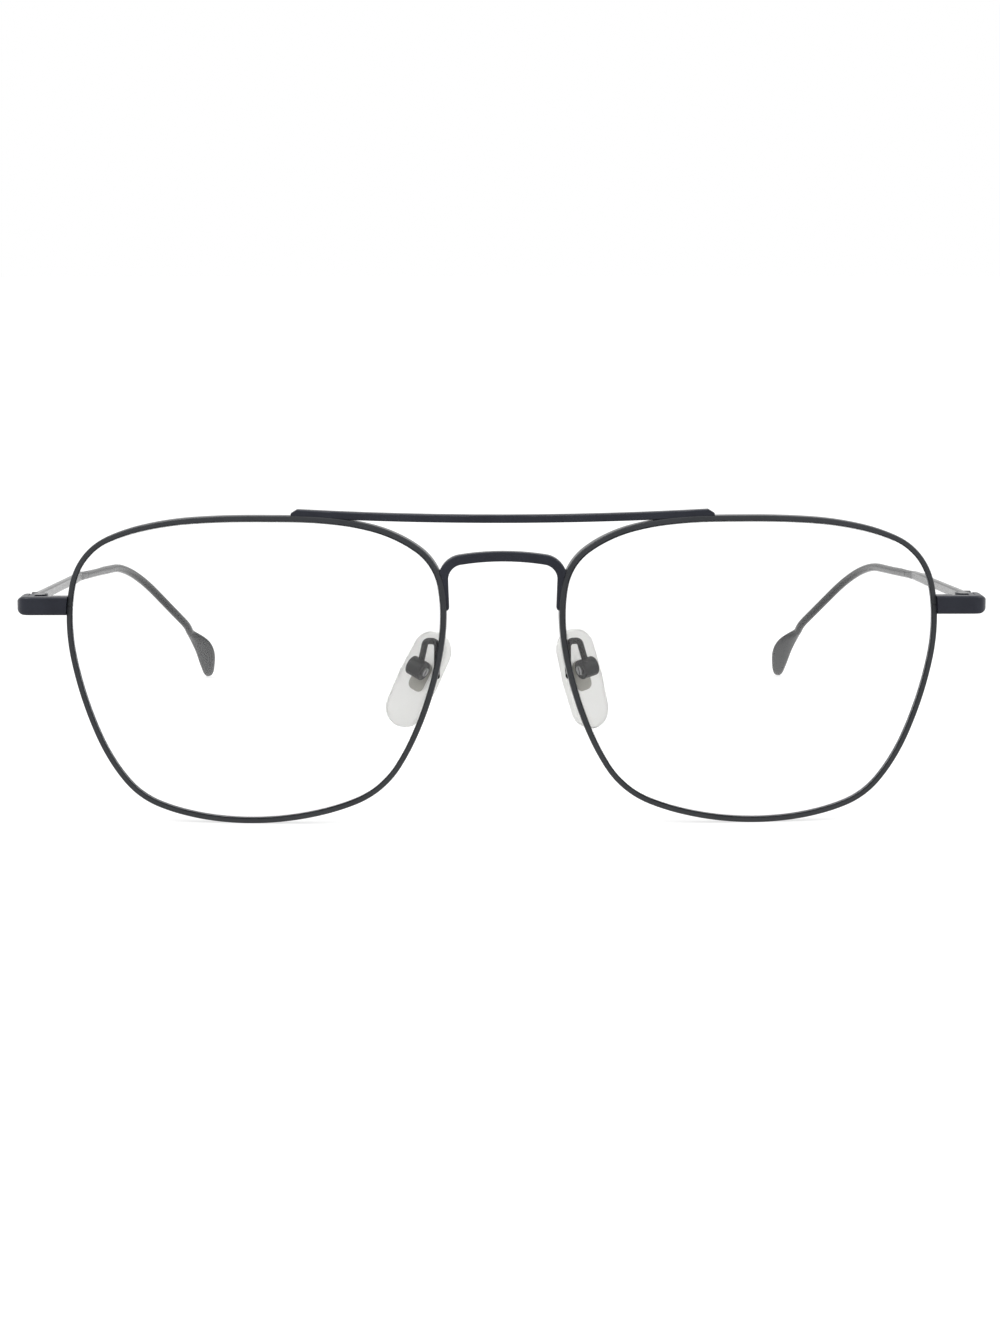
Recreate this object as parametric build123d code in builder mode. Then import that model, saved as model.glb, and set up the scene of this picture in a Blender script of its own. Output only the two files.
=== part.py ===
from build123d import *
import math
import os

os.makedirs("parts", exist_ok=True)

# Glasses with an upper bar and a lower saddle bridge, all sizes in millimetres, angles in degrees.
# X runs to the wearer's left, Y back along the temples, Z up from the table that the glasses stand on.

# Lenses
lens_width = 53.0
lens_height = 43.0
lens_gap = 17.0
lens_thickness = 2.0
base_curve_radius = 130.0
wrap_angle = 4.0
bevel_thickness = 0.6
bevel_clearance = 0.03
bevel_side_clearance = 0.05

# Eyewires
rim_inner_wall = 0.42
rim_outer_wall = 0.4
rim_depth = 1.8
rim_edge_radius = 0.18
lens_seat_clearance = 0.05
rim_split_gap = 0.06

# Outline of a lens from the top round the temporal side, as shares of half its width and half its height
lens_outline_shares = [
    (0.04, 1.0),
    (0.61, 0.927),
    (0.926, 0.709),
    (1.0, 0.36),
    (0.918, -0.219),
    (0.756, -0.656),
    (0.625, -0.834),
    (0.42, -0.943),
    (0.03, -1.0),
    (-0.373, -0.933),
    (-0.66, -0.77),
    (-0.833, -0.461),
    (-0.949, -0.062),
    (-1.0, 0.40),
    (-0.935, 0.71),
    (-0.79, 0.857),
    (-0.45, 0.98),
]

# Upper bar: its reach over each lens, and its heights from the top of the lens outline
bar_reach_share = 0.399
bar_height = 1.12
bar_depth = 1.5
bar_middle_drop = 0.08
bar_end_lift = 0.76
bar_bevel_run = 0.85
bar_bevel_drop = 0.6
bar_edge_radius = 0.2
bar_lead = 0.34

# Lower bridge: its crown below the top of the lens outline, and its own shape from there
bridge_width = 1.4
bridge_depth = 1.7
bridge_crown_drop = 5.35
bridge_shoulder_drop = 0.95
bridge_shoulder_inset = 0.05
bridge_corner_radius = 2.8
bridge_leg_drop = 7.7
bridge_leg_inset = 0.3
bridge_leg_end_radius = 0.55
bridge_edge_radius = 0.25
bridge_lead = 0.09

# End pieces
end_piece_height = 2.6
end_piece_rise = 8.85
end_piece_lead = 0.48
end_piece_thickness = 1.2
end_piece_run = 4.4
end_piece_flare = 0.85
end_piece_corner_radius = 2.0
end_piece_inner_radius = 0.5
end_piece_nose_radius = 1.28
end_piece_nose_trim = 0.15
end_piece_edge_radius = 0.35

# Eyewire locks and their closing screws
lock_width = 2.3
lock_depth = 2.2
lock_height = 1.1
lock_clearance = 0.08
lock_edge_radius = 0.3
rim_screw_radius = 0.45
rim_screw_head_radius = 0.75
rim_screw_head_height = 0.35
screw_clearance = 0.03
screw_slot_width = 0.22
screw_slot_depth = 0.18

# Hinges
hinge_lock_clearance = 0.6
hinge_screw_radius = 0.6
hinge_screw_head_radius = 0.9
hinge_screw_head_height = 0.35
hinge_running_clearance = 0.04
knuckle_radius = 1.2
knuckle_height = 0.8
knuckle_gap = 0.05
knuckle_side_clearance = 0.1
knuckle_end_clearance = 0.15
hinge_plate_thickness = 0.85
temple_plate_run = 6.0
temple_plate_end_height = 1.1
temple_plate_taper_share = 0.85
butt_gap = 0.06

# Temples
temple_thickness = 1.1
temple_head_height = 2.3
temple_head_run = 8.0
band_height = 1.42
band_run = 61.0
band_edge_radius = 0.35
shoulder_run = 4.0
shoulder_end_share = 0.96
shoulder_corner_share = 0.9
temple_wire_radius = 0.68

# Corners of a temple's wire: the bend over the ear, the drop behind it and the tip
bend_run = 94.6
bend_inset = 4.3
bend_fall = 5.72
bend_radius = 39.0
drop_run = 113.8
drop_inset = 12.55
drop_height_share = 0.466
drop_radius = 12.0
tip_run = 130.4
tip_inset = 14.9
tip_height = 0.185

# Flattened paddle, most of the run to the tip: place along it, shift inward, width and thickness as shares
paddle_run_share = 0.9
paddle_width = 3.25
paddle_thickness = 1.0
paddle_twist = 80.0
paddle_shares = [
    (0.10, 0.10, 0.57, 1.2),
    (0.22, 0.27, 0.87, 1.05),
    (0.34, 0.35, 1.0, 0.98),
    (0.47, 0.36, 1.02, 0.94),
    (0.66, 0.27, 0.93, 0.9),
    (0.84, 0.14, 0.73, 0.84),
    (0.95, 0.05, 0.54, 0.65),
    (1.0, 0.01, 0.34, 0.4),
]

# Nose pads, placed from the screw on which each one rocks
pad_offset = 3.6
pad_set_back = 6.0
pad_rise = -0.3
pad_splay = 56.0
right_pad_lean = 26.0
left_pad_lean = 14.0
pad_length = 14.6
pad_top_radius = 2.95
pad_middle_radius = 3.15
pad_bottom_radius = 2.9
pad_thickness = 1.9
pad_face_radius = 0.8
pad_back_radius = 0.3
pad_drop = 1.75
pad_shift = 0.4

# Cores moulded into the pads, each with a lug for the screw
core_width = 2.6
core_length = 4.4
core_thickness = 0.6
core_drop = 1.1
core_corner_radius = 0.9
lug_thickness = 1.1
lug_radius = 0.85
lug_neck_width = 1.3

# Pad boxes, round sockets about the rocking screws
box_radius = 1.4
box_length = 2.4
box_wall = 0.4
box_side_clearance = 0.12
box_pad_clearance = 0.32
box_edge_radius = 0.15
pad_screw_radius = 0.4
pad_screw_head_radius = 0.65
pad_screw_head_height = 0.25

# Pad arms
arm_wire_radius = 0.46
arm_leg_offset = 0.83
arm_leg_set_back = 4.6
arm_foot_drop = 0.6
arm_loop_rise = 4.0
arm_loop_width = 1.65
arm_outer_leg_set_back = 5.2
arm_loop_radius = 0.76
arm_foot_radius = 1.1
arm_box_bite = 0.3

# Sizes worked out from the ones above
overrun = lens_height
half_width = lens_width / 2
half_height = lens_height / 2
wrap_x = math.cos(math.radians(wrap_angle))
wrap_y = math.sin(math.radians(wrap_angle))
lens_x = lens_gap / 2 + half_width * wrap_x
lens_z = half_height + rim_outer_wall
lens_plane = Plane(origin=(lens_x, 0, lens_z), x_dir=(wrap_x, wrap_y, 0), z_dir=(wrap_y, -wrap_x, 0))
curve_plane = Plane(
    origin=lens_plane.offset(-base_curve_radius).origin,
    x_dir=-lens_plane.z_dir,
    z_dir=(0, 0, 1),
)
rim_side_x = lens_x + half_width * wrap_x + rim_outer_wall
bar_half_length = lens_gap / 2 + lens_width * bar_reach_share
bar_middle_z = lens_z + half_height - bar_middle_drop
bar_end_z = lens_z + half_height + bar_end_lift
bridge_crown_z = lens_z + half_height - bridge_crown_drop
bridge_shoulder_x = lens_gap / 2 - bridge_shoulder_inset
bridge_leg_x = lens_gap / 2 - bridge_leg_inset
end_piece_z = lens_z + end_piece_rise
hinge_x = rim_side_x + lock_width + hinge_lock_clearance + knuckle_radius
temple_inner = hinge_x + knuckle_radius + knuckle_side_clearance
temple_outset = temple_inner + temple_thickness
front_half_width = temple_outset + end_piece_flare
hinge_half_height = knuckle_height * 3 / 2 + knuckle_gap
plate_near = knuckle_radius + knuckle_end_clearance
pad_reach = lens_gap / 2 + pad_offset
arm_leg_reach = lens_gap / 2 + arm_leg_offset


def depth_at(across, rise):
    """Gives how far back a lens's middle surface lies, at a place given from the lens centre."""
    bow = base_curve_radius - math.sqrt(base_curve_radius**2 - across**2 - rise**2)
    return across * wrap_y + bow * wrap_x


bar_set_back = depth_at(0, half_height) - bar_lead
bridge_set_back = depth_at(-half_width, half_height - bridge_crown_drop - bridge_leg_drop / 2) - bridge_lead
end_piece_front = depth_at(half_width, end_piece_rise) - rim_depth / 2 - end_piece_lead
end_piece_back = end_piece_front + end_piece_thickness
hinge_y = end_piece_front + end_piece_run + butt_gap / 2
arm_foot_set_back = depth_at(-half_width, pad_rise - arm_foot_drop)


def beside(place, run, margin):
    """Gives the place a margin outside a point of the lens outline that runs clockwise there."""
    return place + Vector(-run.Y, run.X) * margin


def lens_face(margin):
    """Gives the face that the lens outline encloses, grown by a margin, on the lens plane."""
    places = [Vector(u * half_width, v * half_height) for u, v in lens_outline_shares]
    with BuildSketch(lens_plane) as profile:
        with BuildLine():
            guide = Spline(*places, periodic=True, mode=Mode.PRIVATE)
            for start, end in zip(places, places[1:] + places[:1]):
                run_in = guide.tangent_at(start)
                run_out = guide.tangent_at(end)
                chord = end - start
                turn = 1 - run_in.dot(run_out)
                along = chord.dot(run_in + run_out)
                reach = (math.sqrt(along**2 + 2 * turn * chord.dot(chord)) - along) / (2 * turn)
                middle = (start + end + (run_in - run_out) * reach) / 2
                run_middle = TangentArc(start, middle, tangent=run_in, mode=Mode.PRIVATE) % 1
                joint = beside(middle, run_middle, margin)
                TangentArc(beside(start, run_in, margin), joint, tangent=run_in)
                TangentArc(joint, beside(end, run_out, margin), tangent=run_middle)
        make_face()
    return profile.sketch


def keep_shell(thickness):
    """Cuts the part in hand down to a shell on the base curve, centred on the lens's middle surface."""
    with Locations(curve_plane):
        Sphere(base_curve_radius + thickness / 2, mode=Mode.INTERSECT)
        Sphere(base_curve_radius - thickness / 2, mode=Mode.SUBTRACT)


def mirrored(piece):
    """Gives the right-hand twin of a left-hand piece."""
    with BuildPart() as twin:
        mirror(piece.part, about=Plane.YZ)
    return twin


def slotted_screw(base, shaft_radius, shaft_length, head_radius, head_height):
    """Gives a screw whose head starts at the base plane and rises along it, with its shaft behind."""
    with BuildPart() as screw:
        with BuildSketch(base):
            Circle(head_radius)
        extrude(amount=head_height)
        with BuildSketch(base):
            Circle(shaft_radius)
        extrude(amount=-shaft_length)
        with BuildSketch(base.offset(head_height)):
            Rectangle(2 * head_radius, screw_slot_width)
        extrude(amount=-screw_slot_depth, mode=Mode.SUBTRACT)
    return screw


# Solids that fill the eyewires, to trim what is brazed on their outer sides
with BuildPart() as left_filler:
    extrude(lens_face(rim_outer_wall), amount=overrun, both=True)

right_filler = mirrored(left_filler)

# Layer of the eyewire's own depth, to trim the feet of the pad arms at its back
with BuildPart() as left_layer:
    extrude(lens_face(bridge_width), amount=overrun, both=True)
    keep_shell(rim_depth)

right_layer = mirrored(left_layer)

# Eyewires, grooved for the lens and split behind the end piece
with BuildPart() as groove:
    extrude(lens_face(0), amount=overrun, both=True)
    keep_shell(bevel_thickness + 2 * bevel_side_clearance)

with BuildPart() as left_rim:
    extrude(lens_face(rim_outer_wall), amount=overrun, both=True)
    extrude(lens_face(-rim_inner_wall), amount=overrun, both=True, mode=Mode.SUBTRACT)
    keep_shell(rim_depth)
    add(groove.part, mode=Mode.SUBTRACT)
    shells = left_rim.faces().filter_by(GeomType.SPHERE).sort_by(lambda face: face.radius)
    fillet(shells[0].edges() + shells[-1].edges(), radius=rim_edge_radius)
    with Locations((rim_side_x, 0, end_piece_z)):
        Box(half_width, overrun, rim_split_gap, mode=Mode.SUBTRACT)

# Lenses, with a bevel that sits in the eyewire's groove
with BuildPart() as bevel:
    extrude(lens_face(-bevel_clearance), amount=overrun, both=True)
    keep_shell(bevel_thickness)

with BuildPart() as left_lens:
    extrude(lens_face(-rim_inner_wall - lens_seat_clearance), amount=overrun, both=True)
    keep_shell(lens_thickness)
    add(bevel.part)

# Upper bar, brazed on top of both eyewires
with BuildPart() as top_bar:
    with BuildSketch(Plane.XZ.offset(-bar_set_back)) as bar_face:
        with BuildLine():
            ThreePointArc(
                (-bar_half_length, bar_end_z),
                (0, bar_middle_z),
                (bar_half_length, bar_end_z),
            )
        trace(line_width=bar_height)
        upper_ends = bar_face.vertices().sort_by(Axis.Y)[-2:]
        chamfer(upper_ends, length=bar_bevel_run, length2=bar_bevel_drop)
    extrude(amount=bar_depth / 2, both=True)
    fillet(top_bar.edges().filter_by(GeomType.CIRCLE), radius=bar_edge_radius)
    add(left_filler.part, mode=Mode.SUBTRACT)
    add(right_filler.part, mode=Mode.SUBTRACT)

# Lower bridge, an arch whose legs are brazed down the nasal sides of the eyewires
with BuildPart() as bridge:
    with BuildSketch(Plane.XZ.offset(-bridge_set_back)) as bridge_face:
        with BuildLine() as bridge_line:
            ThreePointArc(
                (-bridge_shoulder_x, bridge_crown_z - bridge_shoulder_drop),
                (0, bridge_crown_z),
                (bridge_shoulder_x, bridge_crown_z - bridge_shoulder_drop),
            )
            for sign in (-1, 1):
                Line(
                    (sign * bridge_shoulder_x, bridge_crown_z - bridge_shoulder_drop),
                    (sign * bridge_leg_x, bridge_crown_z - bridge_leg_drop),
                )
            fillet(bridge_line.vertices().group_by(Axis.Y)[-1], radius=bridge_corner_radius)
        trace(line_width=bridge_width)
        fillet(bridge_face.vertices().sort_by(Axis.Y)[:4], radius=bridge_leg_end_radius)
    extrude(amount=bridge_depth / 2, both=True)
    fillet(bridge.faces().filter_by(Axis.Y).edges(), radius=bridge_edge_radius)
    add(left_filler.part, mode=Mode.SUBTRACT)
    add(right_filler.part, mode=Mode.SUBTRACT)

# End pieces, bars that run out from the eyewire and turn back to the hinge
with BuildPart() as left_end_piece:
    with BuildSketch(Plane.XY.offset(end_piece_z)) as plan:
        with BuildLine():
            Polyline(
                (rim_side_x - lock_width, end_piece_front),
                (front_half_width, end_piece_front),
                (temple_outset, end_piece_front + end_piece_run),
                (temple_inner, end_piece_front + end_piece_run),
                (temple_inner, end_piece_back),
                (rim_side_x - lock_width, end_piece_back),
                close=True,
            )
        make_face()
        outer_corner = plan.vertices().sort_by_distance((front_half_width, end_piece_front))[0]
        fillet(outer_corner, end_piece_corner_radius)
        inner_corner = plan.vertices().sort_by_distance((temple_inner, end_piece_back))[0]
        fillet(inner_corner, end_piece_inner_radius)
        end_piece_reach = plan.sketch.bounding_box().max.X
    extrude(amount=end_piece_height / 2, both=True)
    with BuildSketch(Plane.XZ) as elevation:
        with Locations((end_piece_reach + end_piece_nose_trim - half_width, end_piece_z)):
            RectangleRounded(2 * half_width, end_piece_height, end_piece_nose_radius)
    extrude(amount=-overrun, mode=Mode.INTERSECT)
    fillet(left_end_piece.faces().sort_by(Axis.Y)[0].edges(), radius=end_piece_edge_radius)
    add(left_filler.part, mode=Mode.SUBTRACT)

# Eyewire locks: the upper one is brazed to the end piece too, the lower one is free of it
lock_screw_x = rim_side_x + lock_width / 2
lock_screw_y = end_piece_back + lock_depth / 2


def lock_body(low, front):
    """Gives a lock block that stands on the height low and starts at the depth front."""
    with BuildPart() as block:
        with BuildSketch(Plane.XY.offset(low)):
            depth = end_piece_back + lock_depth - front
            with Locations((rim_side_x, front + depth / 2)):
                Rectangle(2 * lock_width, depth)
        extrude(amount=lock_height)
        fillet(block.edges().filter_by(Axis.Z).group_by(Axis.X)[-1], radius=lock_edge_radius)
        add(left_filler.part, mode=Mode.SUBTRACT)
        with Locations((lock_screw_x, lock_screw_y, low)):
            Cylinder(rim_screw_radius + screw_clearance, 4 * lock_height, mode=Mode.SUBTRACT)
    return block


left_rim_lock_upper = lock_body(end_piece_z + rim_split_gap / 2, end_piece_back)
lock_low = end_piece_z - rim_split_gap / 2 - lock_height
with BuildPart() as left_rim_lock_lower:
    add(lock_body(lock_low, end_piece_back + lock_clearance).part)
    with Locations((lock_screw_x, lock_screw_y, lock_low)):
        Cylinder(
            rim_screw_head_radius + screw_clearance,
            2 * (rim_screw_head_height + screw_clearance),
            mode=Mode.SUBTRACT,
        )

left_rim_screw = slotted_screw(
    Plane(origin=(lock_screw_x, lock_screw_y, lock_low + rim_screw_head_height), z_dir=(0, 0, -1)),
    rim_screw_radius,
    2 * lock_height + rim_split_gap - rim_screw_head_height - lock_clearance,
    rim_screw_head_radius,
    rim_screw_head_height,
)


def temple_height(run):
    """Gives how high the temple's centre line lies, at a run behind the hinge and before the bend."""
    return end_piece_z - bend_fall * run / bend_run


# Hinges, a two-knuckle leaf inside the end piece and a one-knuckle leaf inside the temple
def hinge_leaf(direction, plate_run, knuckle_lows):
    """Gives a leaf whose plate lies before (-1) or behind (1) the hinge screw."""
    near = hinge_y + direction * plate_near
    far = near + direction * plate_run
    with BuildPart() as leaf:
        with BuildSketch(Plane.XY.offset(end_piece_z - hinge_half_height)):
            with Locations((temple_inner - hinge_plate_thickness / 2, (near + far) / 2)):
                Rectangle(hinge_plate_thickness, plate_run)
        extrude(amount=2 * hinge_half_height)
        for low in knuckle_lows:
            with BuildSketch(Plane.XY.offset(end_piece_z + low)):
                with Locations((hinge_x, hinge_y)):
                    Circle(knuckle_radius)
                web_inner = temple_inner - hinge_plate_thickness
                web_outer = hinge_x + knuckle_radius
                with Locations(((web_inner + web_outer) / 2, (hinge_y + near) / 2)):
                    Rectangle(web_outer - web_inner, plate_near)
            extrude(amount=knuckle_height)
        with Locations((hinge_x, hinge_y, end_piece_z)):
            Cylinder(hinge_screw_radius + hinge_running_clearance, 4 * hinge_half_height, mode=Mode.SUBTRACT)
    return leaf


upper_knuckle_low = knuckle_height / 2 + knuckle_gap
with BuildPart() as left_front_hinge:
    add(
        hinge_leaf(
            -1,
            hinge_y - plate_near - end_piece_back,
            (upper_knuckle_low, -hinge_half_height),
        ).part
    )
    add(left_end_piece.part, mode=Mode.SUBTRACT)
    with Locations((hinge_x, hinge_y, end_piece_z + hinge_half_height)):
        Cylinder(
            hinge_screw_head_radius + hinge_running_clearance,
            2 * (hinge_screw_head_height + screw_clearance),
            mode=Mode.SUBTRACT,
        )

with BuildPart() as left_temple_hinge:
    add(hinge_leaf(1, temple_plate_run, (-knuckle_height / 2,)).part)
    plate_far_y = hinge_y + plate_near + temple_plate_run
    plate_far_z = temple_height(plate_near + temple_plate_run)
    taper_y = plate_far_y - temple_plate_run * temple_plate_taper_share
    with BuildSketch(Plane.YZ) as taper:
        with BuildLine():
            Polyline(
                (hinge_y - plate_near, end_piece_z + hinge_half_height),
                (taper_y, end_piece_z + hinge_half_height),
                (plate_far_y, plate_far_z + temple_plate_end_height / 2),
                (plate_far_y, plate_far_z - temple_plate_end_height / 2),
                (taper_y, end_piece_z - hinge_half_height),
                (hinge_y - plate_near, end_piece_z - hinge_half_height),
                close=True,
            )
        make_face()
    extrude(amount=temple_outset, mode=Mode.INTERSECT)

hinge_head_z = end_piece_z + hinge_half_height - hinge_screw_head_height
left_hinge_screw = slotted_screw(
    Plane(origin=(hinge_x, hinge_y, hinge_head_z), z_dir=(0, 0, 1)),
    hinge_screw_radius,
    2 * hinge_half_height - hinge_screw_head_height,
    hinge_screw_head_radius,
    hinge_screw_head_height,
)

# Temples: head at the hinge, flat band, shoulder, wire with its bend, and the flattened paddle
temple_x = temple_outset - temple_thickness / 2
head_start = Vector(temple_x, hinge_y + butt_gap / 2, end_piece_z)
head_end = Vector(temple_x, hinge_y + temple_head_run, temple_height(temple_head_run))
band_end = Vector(temple_x, hinge_y + band_run, temple_height(band_run))
bend_corner = Vector(temple_x - bend_inset, hinge_y + bend_run, temple_height(bend_run))
drop_height = tip_height + (bend_corner.Z - tip_height) * drop_height_share
drop_corner = Vector(temple_x - drop_inset, hinge_y + drop_run, drop_height)
temple_tip = Vector(temple_x - tip_inset, hinge_y + tip_run, tip_height)
along_wire = (bend_corner - band_end).normalized()
along_paddle = (temple_tip - drop_corner).normalized()
wire_start = band_end + along_wire * shoulder_run
paddle_length = (temple_tip - drop_corner).length * paddle_run_share
paddle_start = temple_tip - along_paddle * paddle_length
paddle_up = (along_wire - along_paddle * along_wire.dot(along_paddle)).normalized()
paddle_in = paddle_up.cross(along_paddle)
twist = math.radians(paddle_twist)
paddle_across = paddle_up * math.cos(twist) + paddle_in * math.sin(twist)

with BuildPart() as left_temple:
    for place, height in (
        (head_start, temple_head_height),
        (head_end, band_height),
        (band_end, band_height),
    ):
        with BuildSketch(Plane(origin=place, x_dir=(1, 0, 0), z_dir=(0, 1, 0))):
            RectangleRounded(temple_thickness, height, band_edge_radius)
    with BuildSketch(Plane(origin=wire_start, x_dir=(1, 0, 0), z_dir=along_wire)):
        shoulder_end = 2 * temple_wire_radius * shoulder_end_share
        RectangleRounded(shoulder_end, shoulder_end, temple_wire_radius * shoulder_corner_share)
    loft(ruled=True)
    with BuildLine() as wire_route:
        FilletPolyline(
            wire_start,
            bend_corner,
            drop_corner,
            paddle_start,
            radius=[bend_radius, drop_radius],
        )
    with BuildSketch(Plane(origin=wire_start, x_dir=(1, 0, 0), z_dir=along_wire)):
        Circle(temple_wire_radius)
    sweep(path=wire_route.line)
    with BuildSketch(Plane(origin=paddle_start, x_dir=paddle_across, z_dir=along_paddle)):
        Circle(temple_wire_radius)
    for place, shift, width, thickness in paddle_shares:
        middle = paddle_start + along_paddle * (paddle_length * place)
        centre = middle + paddle_across * (paddle_width * shift)
        with BuildSketch(Plane(origin=centre, x_dir=paddle_across, z_dir=along_paddle)):
            Ellipse(width * paddle_width / 2, thickness * paddle_thickness / 2)
    loft()

pieces = {
    "top_bar": top_bar,
    "bridge": bridge,
}
paired = {
    "rim": left_rim,
    "lens": left_lens,
    "end_piece": left_end_piece,
    "rim_lock_upper": left_rim_lock_upper,
    "rim_lock_lower": left_rim_lock_lower,
    "rim_screw": left_rim_screw,
    "front_hinge": left_front_hinge,
    "temple_hinge": left_temple_hinge,
    "hinge_screw": left_hinge_screw,
    "temple": left_temple,
}
for name, piece in paired.items():
    pieces["left_" + name] = piece
    pieces["right_" + name] = mirrored(piece)

# Nose pads with their cores, boxes, screws and arms; the two sides lean differently, as they were bent
splay_across = math.cos(math.radians(pad_splay))
splay_forward = math.sin(math.radians(pad_splay))
pad_gap = box_radius + box_pad_clearance
for side, sign, lean, layer in (
    ("left", 1, left_pad_lean, left_layer),
    ("right", -1, right_pad_lean, right_layer),
):
    pivot = Vector(sign * pad_reach, pad_set_back, lens_z + pad_rise)
    pad_up = Vector(-sign * math.sin(math.radians(lean)), 0, math.cos(math.radians(lean)))
    outward = Vector(sign * splay_across, -splay_forward, 0)
    pad_normal = (outward - pad_up * outward.dot(pad_up)).normalized()
    screw_plane = Plane(origin=pivot, x_dir=pad_up, z_dir=pad_normal.cross(pad_up))
    back_plane = Plane(origin=pivot - pad_normal * pad_gap, x_dir=pad_up, z_dir=-pad_normal)

    with BuildPart() as pad_core:
        with BuildSketch(back_plane):
            with Locations((-core_drop, 0)):
                RectangleRounded(core_length, core_width, core_corner_radius)
        extrude(amount=core_thickness)
        with BuildSketch(screw_plane):
            Circle(lug_radius)
            with Locations((0, pad_gap / 2)):
                Rectangle(lug_neck_width, pad_gap)
        extrude(amount=lug_thickness / 2, both=True)
        with BuildSketch(screw_plane):
            Circle(pad_screw_radius + screw_clearance)
        extrude(amount=lug_thickness, both=True, mode=Mode.SUBTRACT)

    with BuildPart() as nose_pad:
        with BuildSketch(back_plane):
            with Locations((pad_length / 2 - pad_top_radius - pad_drop, sign * pad_shift)):
                Circle(pad_top_radius)
            with Locations((-pad_drop, sign * pad_shift)):
                Circle(pad_middle_radius)
            with Locations((pad_bottom_radius - pad_length / 2 - pad_drop, sign * pad_shift)):
                Circle(pad_bottom_radius)
            make_hull()
        extrude(amount=pad_thickness)
        ends = nose_pad.faces().sort_by(Axis(pivot, -pad_normal))
        fillet(ends[-1].edges(), radius=pad_face_radius)
        fillet(nose_pad.faces().sort_by(Axis(pivot, -pad_normal))[0].edges(), radius=pad_back_radius)
        add(pad_core.part, mode=Mode.SUBTRACT)

    with BuildPart() as pad_box:
        with BuildSketch(screw_plane):
            Circle(box_radius)
        extrude(amount=box_length / 2, both=True)
        fillet(pad_box.edges(), radius=box_edge_radius)
        with BuildSketch(screw_plane):
            pocket = box_radius - box_wall
            with Locations((0, pocket)):
                Rectangle(2 * pocket, 4 * pocket)
        extrude(amount=lug_thickness / 2 + box_side_clearance, both=True, mode=Mode.SUBTRACT)
        with BuildSketch(screw_plane):
            Circle(pad_screw_radius + screw_clearance)
        extrude(amount=box_length, both=True, mode=Mode.SUBTRACT)

    screw_base = Plane(origin=pivot, x_dir=pad_up, z_dir=screw_plane.z_dir * sign).offset(box_length / 2)
    pad_screw = slotted_screw(
        screw_base,
        pad_screw_radius,
        box_length,
        pad_screw_head_radius,
        pad_screw_head_height,
    )

    with BuildPart() as pad_arm:
        with BuildLine() as arm_route:
            FilletPolyline(
                (sign * arm_leg_reach, arm_foot_set_back, pivot.Z - arm_foot_drop),
                (sign * arm_leg_reach, arm_leg_set_back, pivot.Z - arm_foot_drop),
                (sign * arm_leg_reach, arm_leg_set_back, pivot.Z + arm_loop_rise),
                (sign * (arm_leg_reach + arm_loop_width), arm_outer_leg_set_back, pivot.Z + arm_loop_rise),
                pivot + pad_up * (box_radius - arm_box_bite),
                radius=[arm_foot_radius, arm_loop_radius, arm_loop_radius],
            )
        with BuildSketch(Plane(origin=arm_route.line @ 0, z_dir=arm_route.line % 0)):
            Circle(arm_wire_radius)
        sweep(path=arm_route.line)
        add(layer.part, mode=Mode.SUBTRACT)
        with BuildSketch(screw_plane):
            Circle(box_radius)
        extrude(amount=box_length / 2, both=True, mode=Mode.SUBTRACT)

    for name, piece in (
        ("pad_core", pad_core),
        ("nose_pad", nose_pad),
        ("pad_box", pad_box),
        ("pad_screw", pad_screw),
        ("pad_arm", pad_arm),
    ):
        pieces[side + "_" + name] = piece

# The origin goes under the middle of the whole object, on the table
boxes = [piece.part.bounding_box() for piece in pieces.values()]
front = min(box.min.Y for box in boxes)
back = max(box.max.Y for box in boxes)
lowest = min(box.min.Z for box in boxes)
for name, piece in pieces.items():
    placed = piece.part.moved(Location((0, -(front + back) / 2, -lowest)))
    placed.label = name
    export_step(placed, "parts/" + name + ".step")
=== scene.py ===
import math

import bpy
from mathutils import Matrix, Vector

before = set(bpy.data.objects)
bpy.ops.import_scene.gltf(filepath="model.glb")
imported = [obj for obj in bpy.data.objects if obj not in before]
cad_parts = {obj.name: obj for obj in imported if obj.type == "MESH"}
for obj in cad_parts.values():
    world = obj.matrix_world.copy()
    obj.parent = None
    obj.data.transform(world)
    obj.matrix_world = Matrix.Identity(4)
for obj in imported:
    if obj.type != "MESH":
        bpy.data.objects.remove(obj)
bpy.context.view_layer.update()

# Camera, fitted to the photograph: angles in degrees, lengths in metres
CAMERA_AZIMUTH = -0.67
CAMERA_ELEVATION = 8.58
CAMERA_DISTANCE = 0.4415
CAMERA_TARGET = (-0.00035, -0.063564, 0.02185)
CAMERA_CLIP_START = 0.01
SENSOR_WIDTH = 36.0
FRAME_LONG_SIDE = 1333.0
FOCAL_PIXELS = 3105.0

# Colours of the finishes, each with the shade that it clouds into
WHITE = (1.0, 1.0, 1.0)
NAVY = (0.023, 0.025, 0.036)
NAVY_WORN = (0.030, 0.033, 0.046)
RIM_NAVY = (0.037, 0.040, 0.045)
RIM_NAVY_WORN = (0.046, 0.049, 0.055)
SLATE = (0.006, 0.008, 0.010)
SLATE_WORN = (0.011, 0.013, 0.015)
GUNMETAL = (0.005, 0.005, 0.006)
GUNMETAL_WORN = (0.010, 0.009, 0.010)
STEEL = (0.33, 0.33, 0.34)
STEEL_WORN = (0.42, 0.42, 0.42)
SILICONE = (0.97, 0.97, 0.955)
SILICONE_MILKY = (0.93, 0.93, 0.91)
CORE = (0.46, 0.45, 0.40)
CORE_DARK = (0.39, 0.38, 0.34)
LENS_EDGE = (0.32, 0.33, 0.36)

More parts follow.
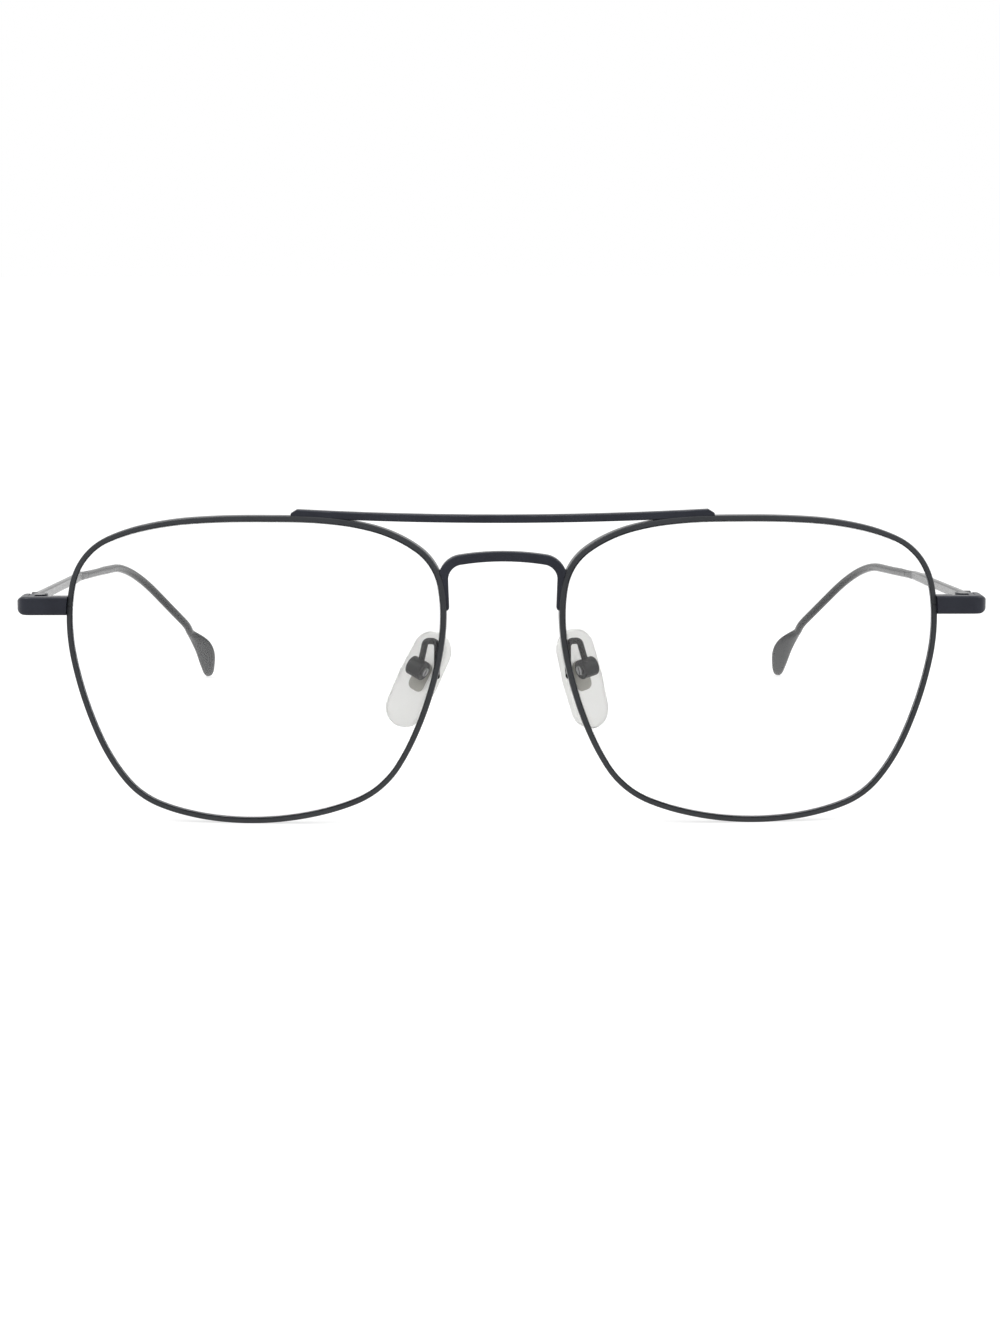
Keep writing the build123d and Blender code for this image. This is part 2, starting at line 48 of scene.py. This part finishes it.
# Skins of the finishes: scales in waves per metre, depths in metres, spreads below and above a roughness
LACQUER_CLOUD_SCALE = 160.0
LACQUER_HAZE_SCALE = 420.0
LACQUER_SPREAD = (0.05, 0.07)
LACQUER_PEEL_SCALE = 3800.0
LACQUER_PEEL_STRENGTH = 0.05
TURNING_SCALE = 2600.0
TURNING_DETAIL = 4.0
TURNING_CONTRAST = 0.7
TURNING_SPREAD = (0.06, 0.1)
TURNING_STRENGTH = 0.3
SILICONE_MILK_SCALE = 300.0
SILICONE_ROUGHNESS = (0.32, 0.48)
SILICONE_TRANSMISSION = 0.5
SILICONE_IOR = 1.16
SILICONE_SKIN_SCALE = 900.0
SILICONE_SKIN_DEPTH = 0.00002
SILICONE_SKIN_STRENGTH = 0.2
CORE_MILK_SCALE = 500.0
CORE_ROUGHNESS = (0.3, 0.42)
CORE_SKIN_SCALE = 2000.0
CORE_SKIN_STRENGTH = 0.3
SKIN_DETAIL = 2.0
FINE_DEPTH = 0.00001

# Lenses: how far a normal faces front or back on the ground edge, and on the polished faces
LENS_EDGE_FACING = 0.45
LENS_FACE_FACING = 0.6
LENS_EDGE_ROUGHNESS = 0.55
LENS_IOR = 1.5

# Floor: strengths of what is seen of it, and of the painted reflection that the glasses see of it, a glow
# that runs from front to back
FLOOR_HALF = 3.0
FLOOR_COLOUR = (0.8, 0.8, 0.8)
FLOOR_GLOW = 0.72
FLOOR_SHADE = (0.42, 0.42, 0.42)
FLOOR_PAINTED_SHEEN_FRONT = 0.35
FLOOR_PAINTED_SHEEN_BACK = 1.35
FLOOR_PAINTED_SHEEN_REACH = 0.12

# Studio: strengths of the surroundings, with the height and the depth of direction that they run between
SKY_LEVEL = 0.68
SKY_OVERHEAD = 0.96
SKY_HEIGHTS = (0.0, 0.9)
SKY_FRONT = 0.42
SKY_BACK = 1.2
SKY_DEPTHS = (-0.9, 0.2)
SOFTBOX_SIZE = 0.5
SOFTBOXES = {
    "key": {"place": (-0.6, -0.5, 0.9), "watts": 4.0},
    "fill": {"place": (0.8, -0.2, 0.6), "watts": 3.0},
}


def cleared_tree(holder):
    """The emptied node tree of a material or a world."""
    holder.use_nodes = True
    holder.node_tree.nodes.clear()
    return holder.node_tree


def math_node(tree, operation, *terms):
    """The result of one operation on one or two outputs."""
    step = tree.nodes.new("ShaderNodeMath")
    step.operation = operation
    for term, socket in zip(terms, step.inputs):
        tree.links.new(term, socket)
    return step.outputs[0]


def component(tree, vector, axis):
    """One component of a vector."""
    split = tree.nodes.new("ShaderNodeSeparateXYZ")
    tree.links.new(vector, split.inputs["Vector"])
    return split.outputs[axis]


def value_range(tree, factor, low, high, start=0.0, end=1.0):
    """A factor stretched from start..end to low..high."""
    stretch = tree.nodes.new("ShaderNodeMapRange")
    stretch.inputs["From Min"].default_value = start
    stretch.inputs["From Max"].default_value = end
    stretch.inputs["To Min"].default_value = low
    stretch.inputs["To Max"].default_value = high
    tree.links.new(factor, stretch.inputs["Value"])
    return stretch.outputs["Result"]


def colour_ramp(tree, factor, low, high, start=0.35, end=0.65):
    """A colour that runs from low to high as the factor goes from start to end."""
    ramp = tree.nodes.new("ShaderNodeValToRGB")
    ramp.color_ramp.elements[0].position = start
    ramp.color_ramp.elements[0].color = (*low, 1.0)
    ramp.color_ramp.elements[1].position = end
    ramp.color_ramp.elements[1].color = (*high, 1.0)
    tree.links.new(factor, ramp.inputs["Fac"])
    return ramp.outputs["Color"]


def noise(tree, coords, scale, detail=3.0, roughness=0.55):
    """Cloudy noise, with its scale in waves per metre."""
    cloud = tree.nodes.new("ShaderNodeTexNoise")
    cloud.inputs["Scale"].default_value = scale
    cloud.inputs["Detail"].default_value = detail
    cloud.inputs["Roughness"].default_value = roughness
    tree.links.new(coords, cloud.inputs["Vector"])
    return cloud.outputs["Fac"]


def bump(tree, shader, height, depth, strength):
    """Raises the shader's surface by a height between zero and one, to a depth in metres."""
    relief = tree.nodes.new("ShaderNodeBump")
    relief.inputs["Strength"].default_value = strength
    relief.inputs["Distance"].default_value = depth
    tree.links.new(height, relief.inputs["Height"])
    tree.links.new(relief.outputs["Normal"], shader.inputs["Normal"])


def coloured(tree, kind, colour):
    """A shader of the given kind in one colour: the floor's and the surroundings' light."""
    shader = tree.nodes.new(kind)
    shader.inputs["Color"].default_value = (*colour, 1.0)
    return shader


def mixed(tree, factor, plain, chosen):
    """The plain shader where the factor is zero, and the chosen one where it is one."""
    mix = tree.nodes.new("ShaderNodeMixShader")
    tree.links.new(factor, mix.inputs["Fac"])
    tree.links.new(plain, mix.inputs[1])
    tree.links.new(chosen, mix.inputs[2])
    return mix.outputs[0]


def seen_directly(tree):
    """One for what the camera sees, also through the lenses and the pads, and zero for the rest."""
    path = tree.nodes.new("ShaderNodeLightPath")
    return math_node(tree, "MAXIMUM", path.outputs["Is Camera Ray"], path.outputs["Is Transmission Ray"])


def new_finish(name):
    """A material with its Principled shader; returns it with its node tree and the shader."""
    material = bpy.data.materials.new(name)
    tree = cleared_tree(material)
    output = tree.nodes.new("ShaderNodeOutputMaterial")
    shader = tree.nodes.new("ShaderNodeBsdfPrincipled")
    tree.links.new(shader.outputs["BSDF"], output.inputs["Surface"])
    return material, tree, shader


def object_coords(tree):
    """The coordinates of the node itself, in metres."""
    return tree.nodes.new("ShaderNodeTexCoord").outputs["Object"]


def lacquer(name, base, worn, roughness, specular):
    """Satin lacquer on metal: faint cloudiness in its colour, and the fine orange peel of a sprayed coat."""
    material, tree, shader = new_finish(name)
    coords = object_coords(tree)
    cloud = noise(tree, coords, LACQUER_CLOUD_SCALE)
    tree.links.new(colour_ramp(tree, cloud, base, worn), shader.inputs["Base Color"])
    haze = noise(tree, coords, LACQUER_HAZE_SCALE)
    below, above = LACQUER_SPREAD
    satin = value_range(tree, haze, roughness - below, roughness + above)
    tree.links.new(satin, shader.inputs["Roughness"])
    shader.inputs["Specular IOR Level"].default_value = specular
    peel = noise(tree, coords, LACQUER_PEEL_SCALE, SKIN_DETAIL)
    bump(tree, shader, peel, FINE_DEPTH, LACQUER_PEEL_STRENGTH)
    return material


def bare_metal(name, base, worn, roughness):
    """Turned metal with fine marks round it."""
    material, tree, shader = new_finish(name)
    marks = noise(tree, object_coords(tree), TURNING_SCALE, TURNING_DETAIL, TURNING_CONTRAST)
    tree.links.new(colour_ramp(tree, marks, base, worn), shader.inputs["Base Color"])
    below, above = TURNING_SPREAD
    brushed = value_range(tree, marks, roughness - below, roughness + above)
    tree.links.new(brushed, shader.inputs["Roughness"])
    shader.inputs["Metallic"].default_value = 1.0
    bump(tree, shader, marks, FINE_DEPTH, TURNING_STRENGTH)
    return material


def clear_lens(name):
    """Clear lens: polished faces, and a ground edge that is told from them by its normal."""
    material, tree, shader = new_finish(name)
    geometry = tree.nodes.new("ShaderNodeNewGeometry")
    facing = math_node(tree, "ABSOLUTE", component(tree, geometry.outputs["True Normal"], "Y"))
    edge = value_range(tree, facing, 1.0, 0.0, LENS_EDGE_FACING, LENS_FACE_FACING)
    tree.links.new(colour_ramp(tree, edge, WHITE, LENS_EDGE, 0.0, 1.0), shader.inputs["Base Color"])
    tree.links.new(value_range(tree, edge, 0.0, LENS_EDGE_ROUGHNESS), shader.inputs["Roughness"])
    tree.links.new(value_range(tree, edge, 1.0, 0.0), shader.inputs["Transmission Weight"])
    shader.inputs["IOR"].default_value = LENS_IOR
    return material


def clear_silicone(name):
    """Clear silicone, slightly milky, with a soft uneven skin."""
    material, tree, shader = new_finish(name)
    coords = object_coords(tree)
    milk = noise(tree, coords, SILICONE_MILK_SCALE)
    tree.links.new(colour_ramp(tree, milk, SILICONE, SILICONE_MILKY), shader.inputs["Base Color"])
    tree.links.new(value_range(tree, milk, *SILICONE_ROUGHNESS), shader.inputs["Roughness"])
    shader.inputs["Transmission Weight"].default_value = SILICONE_TRANSMISSION
    shader.inputs["IOR"].default_value = SILICONE_IOR
    skin = noise(tree, coords, SILICONE_SKIN_SCALE, SKIN_DETAIL)
    bump(tree, shader, skin, SILICONE_SKIN_DEPTH, SILICONE_SKIN_STRENGTH)
    return material


def milky_plastic(name):
    """Firm milky plastic of the pads' cores."""
    material, tree, shader = new_finish(name)
    coords = object_coords(tree)
    milk = noise(tree, coords, CORE_MILK_SCALE)
    tree.links.new(colour_ramp(tree, milk, CORE, CORE_DARK), shader.inputs["Base Color"])
    tree.links.new(value_range(tree, milk, *CORE_ROUGHNESS), shader.inputs["Roughness"])
    skin = noise(tree, coords, CORE_SKIN_SCALE, SKIN_DETAIL)
    bump(tree, shader, skin, FINE_DEPTH, CORE_SKIN_STRENGTH)
    return material


navy = lacquer("navy_lacquer", NAVY, NAVY_WORN, roughness=0.34, specular=0.4)
rim_navy = lacquer("rim_lacquer", RIM_NAVY, RIM_NAVY_WORN, roughness=0.3, specular=0.6)
slate = lacquer("slate_lacquer", SLATE, SLATE_WORN, roughness=0.17, specular=0.29)
gunmetal = lacquer("gunmetal_lacquer", GUNMETAL, GUNMETAL_WORN, roughness=0.32, specular=0.22)
steel = bare_metal("screw_steel", STEEL, STEEL_WORN, roughness=0.3)

FINISH_OF = {
    "top_bar": navy,
    "bridge": navy,
    "rim": rim_navy,
    "end_piece": navy,
    "rim_lock_upper": navy,
    "rim_lock_lower": navy,
    "front_hinge": navy,
    "temple_hinge": slate,
    "temple": slate,
    "pad_arm": gunmetal,
    "pad_box": gunmetal,
    "rim_screw": steel,
    "hinge_screw": steel,
    "pad_screw": steel,
    "lens": clear_lens("clear_lens"),
    "nose_pad": clear_silicone("clear_silicone"),
    "pad_core": milky_plastic("milky_plastic"),
}
for name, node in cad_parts.items():
    kind = name.removeprefix("left_").removeprefix("right_")
    node.data.materials.clear()
    node.data.materials.append(FINISH_OF[kind])


def pale_floor():
    """Plain pale floor: near white where it is seen, with the object's soft shadow kept on it. In
    reflections it glows instead, brighter towards the back: a painted reflection on the glasses.
    """
    material = bpy.data.materials.new("pale_floor")
    tree = cleared_tree(material)
    output = tree.nodes.new("ShaderNodeOutputMaterial")
    matt = coloured(tree, "ShaderNodeBsdfDiffuse", FLOOR_COLOUR)
    shade = coloured(tree, "ShaderNodeBsdfDiffuse", FLOOR_SHADE)
    glow = coloured(tree, "ShaderNodeEmission", WHITE)
    glow.inputs["Strength"].default_value = FLOOR_GLOW
    lifted = tree.nodes.new("ShaderNodeAddShader")
    tree.links.new(glow.outputs[0], lifted.inputs[0])
    tree.links.new(shade.outputs[0], lifted.inputs[1])
    # Painted reflection: in glossy rays the floor glows rather than showing its lit colour, brighter from
    # front to back
    painted_sheen = coloured(tree, "ShaderNodeEmission", WHITE)
    depth = component(tree, object_coords(tree), "Y")
    reach = (-FLOOR_PAINTED_SHEEN_REACH, FLOOR_PAINTED_SHEEN_REACH)
    painted_sheen_strength = value_range(tree, depth, FLOOR_PAINTED_SHEEN_FRONT, FLOOR_PAINTED_SHEEN_BACK, *reach)
    tree.links.new(painted_sheen_strength, painted_sheen.inputs["Strength"])
    reflected = tree.nodes.new("ShaderNodeLightPath").outputs["Is Glossy Ray"]
    lit = mixed(tree, reflected, matt.outputs[0], painted_sheen.outputs[0])
    surface = mixed(tree, seen_directly(tree), lit, lifted.outputs[0])
    tree.links.new(surface, output.inputs["Surface"])
    return material


def add_floor():
    """Lays the floor under the object."""
    corners = [(-1, -1), (1, -1), (1, 1), (-1, 1)]
    mesh = bpy.data.meshes.new("floor")
    mesh.from_pydata([(x * FLOOR_HALF, y * FLOOR_HALF, 0) for x, y in corners], [], [(0, 1, 2, 3)])
    mesh.materials.append(pale_floor())
    floor = bpy.data.objects.new("floor", mesh)
    bpy.context.scene.collection.objects.link(floor)


def set_world():
    """White where the camera looks, and brighter overhead than in front for what the surfaces reflect."""
    world = bpy.data.worlds.new("studio")
    bpy.context.scene.world = world
    tree = cleared_tree(world)
    output = tree.nodes.new("ShaderNodeOutputWorld")
    direction = tree.nodes.new("ShaderNodeTexCoord").outputs["Generated"]
    height = value_range(tree, component(tree, direction, "Z"), SKY_LEVEL, SKY_OVERHEAD, *SKY_HEIGHTS)
    front = value_range(tree, component(tree, direction, "Y"), SKY_FRONT, SKY_BACK, *SKY_DEPTHS)
    soft = coloured(tree, "ShaderNodeBackground", WHITE)
    tree.links.new(math_node(tree, "MULTIPLY", height, front), soft.inputs["Strength"])
    white = coloured(tree, "ShaderNodeBackground", WHITE)
    white.inputs["Strength"].default_value = 1.0
    surface = mixed(tree, seen_directly(tree), soft.outputs[0], white.outputs[0])
    tree.links.new(surface, output.inputs["Surface"])


def softbox(name, place, watts):
    """A square area light that faces the glasses."""
    data = bpy.data.lights.new(name, "AREA")
    data.energy = watts
    data.size = SOFTBOX_SIZE
    light = bpy.data.objects.new(name, data)
    light.location = place
    light.rotation_euler = (Vector(CAMERA_TARGET) - light.location).to_track_quat("-Z", "Y").to_euler()
    bpy.context.scene.collection.objects.link(light)


def add_camera():
    """Places the camera where the photograph was taken from."""
    azimuth = math.radians(CAMERA_AZIMUTH)
    elevation = math.radians(CAMERA_ELEVATION)
    level = math.cos(elevation)
    towards = Vector((math.sin(azimuth) * level, -math.cos(azimuth) * level, math.sin(elevation)))
    data = bpy.data.cameras.new("camera")
    data.sensor_width = SENSOR_WIDTH
    data.lens = FOCAL_PIXELS / FRAME_LONG_SIDE * SENSOR_WIDTH
    data.clip_start = CAMERA_CLIP_START
    camera = bpy.data.objects.new("camera", data)
    camera.location = Vector(CAMERA_TARGET) + towards * CAMERA_DISTANCE
    camera.rotation_euler = (-towards).to_track_quat("-Z", "Y").to_euler()
    bpy.context.scene.collection.objects.link(camera)
    bpy.context.scene.camera = camera


add_floor()
set_world()
for name, box in SOFTBOXES.items():
    softbox(name, **box)
add_camera()
bpy.context.scene.view_settings.view_transform = "Standard"
